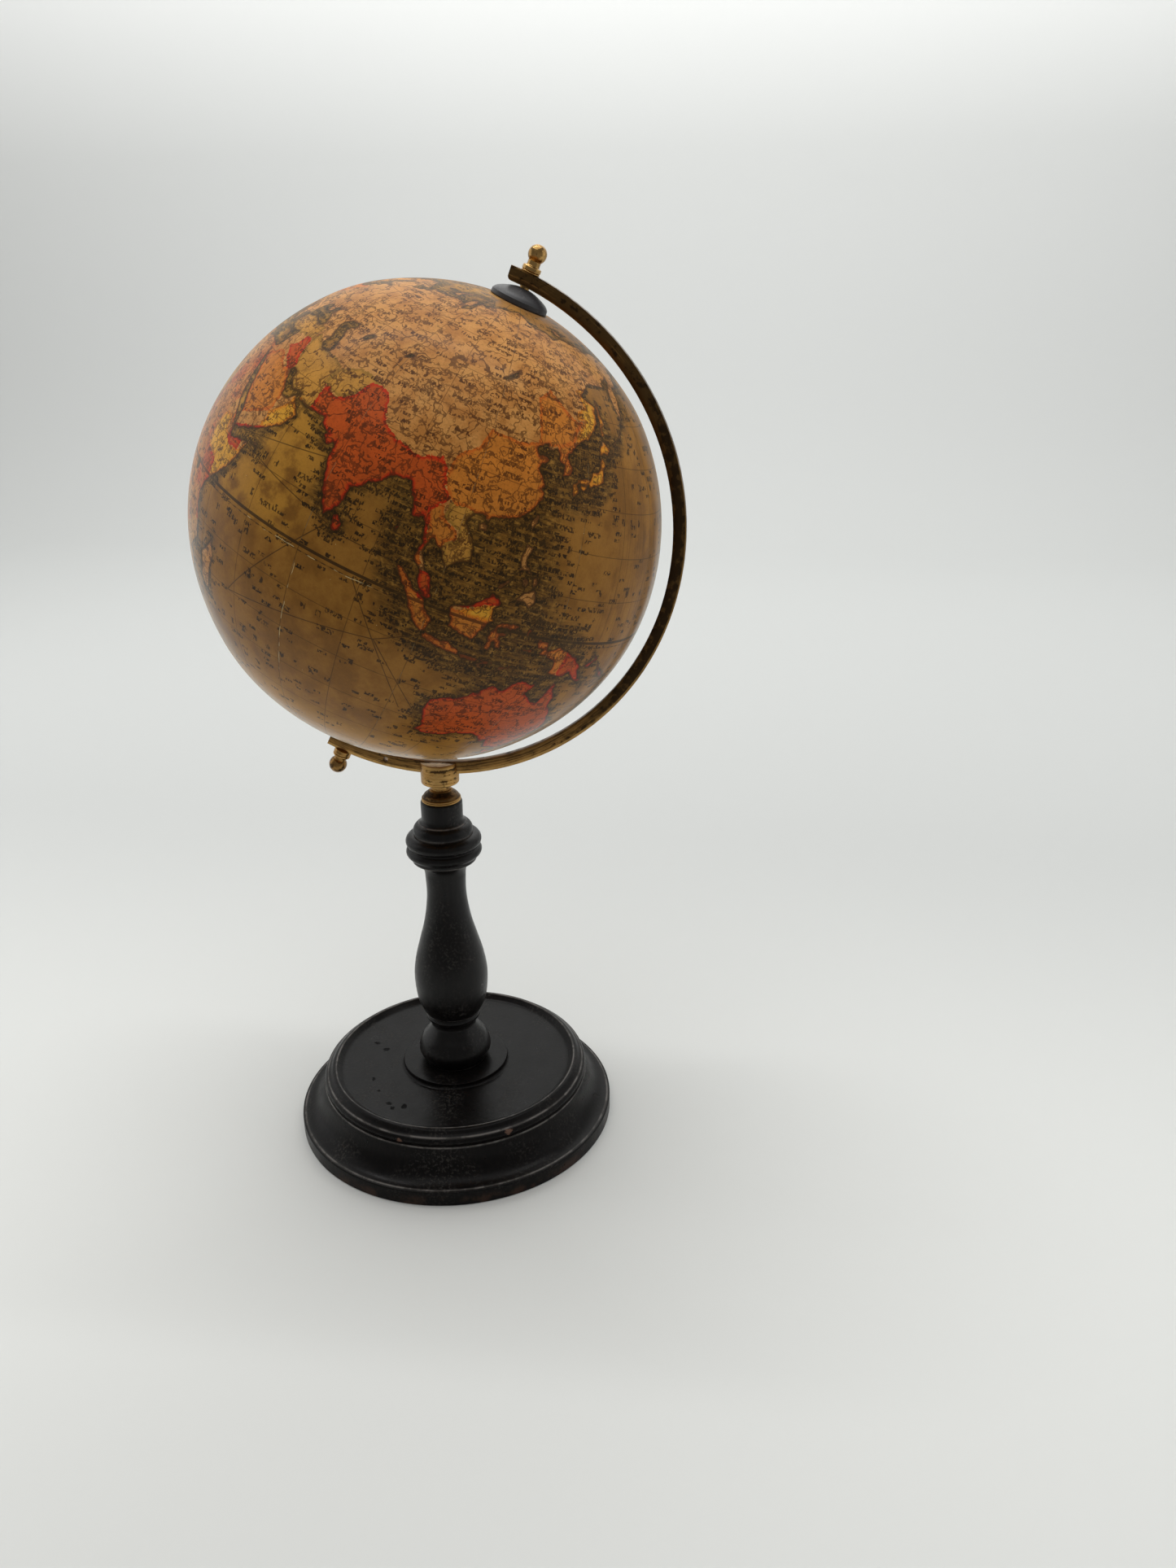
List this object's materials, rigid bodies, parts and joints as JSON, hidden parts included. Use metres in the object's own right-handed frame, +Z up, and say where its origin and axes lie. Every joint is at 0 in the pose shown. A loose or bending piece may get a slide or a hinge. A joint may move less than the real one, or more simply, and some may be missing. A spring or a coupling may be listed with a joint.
{
  "type": "desktop globe on stand",
  "caption": "Terrestrial globe that turns on a tilted axis in a brass half meridian, on a turned black wooden column and dished round base.",
  "frame": {"origin": "on the column's axis, in the plane that the base rests on", "axes": "+Z up along the column; the half meridian lies in the XZ plane, with its bar on the +X side; the north pole leans towards +X"},
  "size_m": [0.1606, 0.1524, 0.3128],
  "materials": {
    "ebonised_wood": "satin black polish over turned wood, worn at the edges",
    "plain_wood": "bare turned wood",
    "brass": "worn brass with dull patches",
    "aged_brass": "dark patina with bright lengthwise scratches",
    "bronzed_brass": "dark bronzed brass, bright on the edges",
    "papier_mache": "moulded papier-mache with a plaster skin",
    "map_paper": "printed map under yellowed gloss varnish",
    "dial_black": "satin black, scuffed on top"
  },
  "bodies": {
    "stand": {"base": "ebonised_wood", "column": "ebonised_wood", "cap_washer": "brass", "column_cap": "bronzed_brass", "arm_stud": "brass", "arm_socket": "brass", "meridian_arm": "aged_brass", "north_pin": "brass", "south_pin": "bronzed_brass", "south_collar": "aged_brass"},
    "globe": {"north_shell": "papier_mache", "south_shell": "papier_mache", "axle_post": "plain_wood", "north_bush": "brass", "south_bush": "brass", "north_calotte": "map_paper", "south_calotte": "map_paper", "map_gore_1": "map_paper", "map_gore_2": "map_paper", "map_gore_3": "map_paper", "map_gore_4": "map_paper", "map_gore_5": "map_paper", "map_gore_6": "map_paper", "map_gore_7": "map_paper", "map_gore_8": "map_paper", "map_gore_9": "map_paper", "map_gore_10": "map_paper", "map_gore_11": "map_paper", "map_gore_12": "map_paper"},
    "dial": {"pole_dial": "dial_black"}
  },
  "joints": [
    {"name": "globe_spin", "type": "hinge", "parent": "stand", "child": "globe", "pos_m": [0.00164, 0, 0.22756], "axis": [0.4179, 0, 0.9085], "continuous": true},
    {"name": "dial_turn", "type": "hinge", "parent": "globe", "child": "dial", "pos_m": [0.03311, 0, 0.29597], "axis": [0.4179, 0, 0.9085], "continuous": true}
  ]
}
